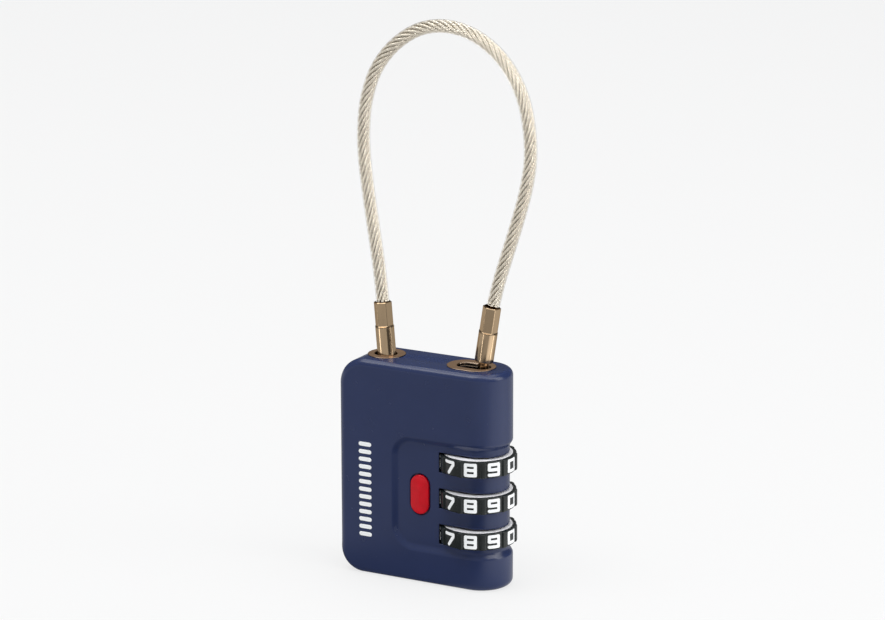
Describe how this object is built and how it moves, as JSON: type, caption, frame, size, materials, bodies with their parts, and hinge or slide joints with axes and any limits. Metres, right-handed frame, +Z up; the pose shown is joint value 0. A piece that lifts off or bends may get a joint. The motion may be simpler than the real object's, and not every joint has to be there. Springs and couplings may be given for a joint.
{
  "type": "luggage combination padlock",
  "caption": "Slab-shaped luggage padlock with number dials at one side, a wire-rope loop shackle held by a captive post and a locking pin, and a key override in its base.",
  "frame": {"origin": "centre of the flat base of the case, midway across its width and thickness", "axes": "+Z up from the base towards the shackle, +X towards the dials, -Y is the front"},
  "size_m": [0.0391, 0.0152, 0.1068],
  "materials": {
    "case_plastic": "satin navy moulded plastic",
    "dial_black": "satin black with white numerals",
    "dial_white": "smooth white",
    "bronze_fittings": "polished antique nickel-bronze plate",
    "bronze_plate": "brushed antique bronze plate",
    "clear_sheath": "clear soft vinyl",
    "wire_rope": "bright stranded wire",
    "badge_enamel": "gloss red enamel",
    "zinc": "die-cast zinc",
    "steel": "plain steel",
    "brass": "machined brass"
  },
  "bodies": {
    "case": {"case_shell": "case_plastic", "base_cover": "case_plastic", "base_screw_1": "steel", "base_screw_2": "steel", "badge": "badge_enamel", "post_plate": "bronze_plate", "pin_plate": "bronze_plate", "mechanism_frame": "zinc", "detent_spring": "steel", "key_shell": "brass", "dial_washer_top": "steel", "dial_washer_middle": "steel", "dial_washer_bottom": "steel", "reset_spring": "steel", "latch_spring": "steel"},
    "shackle": {"captive_post": "bronze_fittings", "captive_crimp": "bronze_fittings", "locking_pin": "bronze_fittings", "pin_crimp": "bronze_fittings", "cable_sheath": "clear_sheath", "cable_rope": "wire_rope"},
    "dial_top": {"dial_band_top": "dial_black", "dial_core_top": "dial_white", "dial_cam_top": "brass"},
    "dial_middle": {"dial_band_middle": "dial_black", "dial_core_middle": "dial_white", "dial_cam_middle": "brass"},
    "dial_bottom": {"dial_band_bottom": "dial_black", "dial_core_bottom": "dial_white", "dial_cam_bottom": "brass"},
    "reset_button": {"reset_spindle": "steel", "reset_plunger": "steel", "spindle_clip": "steel"},
    "latch": {"latch_bolt": "zinc"},
    "lever": {"release_lever": "steel"},
    "fence": {"fence_plate": "steel"},
    "key_cylinder": {"key_plug": "brass", "key_wafer_1": "steel", "key_wafer_2": "steel", "key_wafer_3": "steel", "key_wafer_4": "steel", "key_cam": "zinc"}
  },
  "joints": [
    {"name": "shackle_swing", "type": "hinge", "parent": "case", "child": "shackle", "pos_m": [-0.00933, 0, 0.04178], "axis": [0, 1, 0], "range_deg": [-25, 0]},
    {"name": "dial_top_turn", "type": "hinge", "parent": "case", "child": "dial_top", "pos_m": [0.01015, 0, 0.0241], "axis": [0, 0, 1], "continuous": true},
    {"name": "dial_middle_turn", "type": "hinge", "parent": "case", "child": "dial_middle", "pos_m": [0.01015, 0, 0.0171], "axis": [0, 0, 1], "continuous": true},
    {"name": "dial_bottom_turn", "type": "hinge", "parent": "case", "child": "dial_bottom", "pos_m": [0.01015, 0, 0.0101], "axis": [0, 0, 1], "continuous": true},
    {"name": "reset_press", "type": "slide", "parent": "case", "child": "reset_button", "axis": [0, 0, 1], "range_m": [0, 0.001], "stiffness_N_per_m": 300, "deforming": ["reset_spring"]},
    {"name": "key_turn", "type": "hinge", "parent": "case", "child": "key_cylinder", "pos_m": [-0.0093, 0, 0.008], "axis": [0, 0, 1], "range_deg": [0, 90]},
    {"name": "latch_slide", "type": "slide", "parent": "case", "child": "latch", "axis": [-1, 0, 0], "range_m": [0, 0.0033], "deforming": ["latch_spring"]},
    {"name": "lever_rock", "type": "hinge", "parent": "case", "child": "lever", "pos_m": [0.0019, 0, 0.02935], "axis": [0, 1, 0], "range_deg": [-20.2, 0]},
    {"name": "fence_slide", "type": "slide", "parent": "case", "child": "fence", "axis": [1, 0, 0], "range_m": [0, 0.0011]}
  ],
  "couplings": [
    {"joint": "latch_slide", "follows": "shackle_swing", "m_per_rad": -0.0074485},
    {"joint": "lever_rock", "follows": "shackle_swing", "ratio": 0.8056},
    {"joint": "fence_slide", "follows": "shackle_swing", "m_per_rad": -0.0024018}
  ]
}
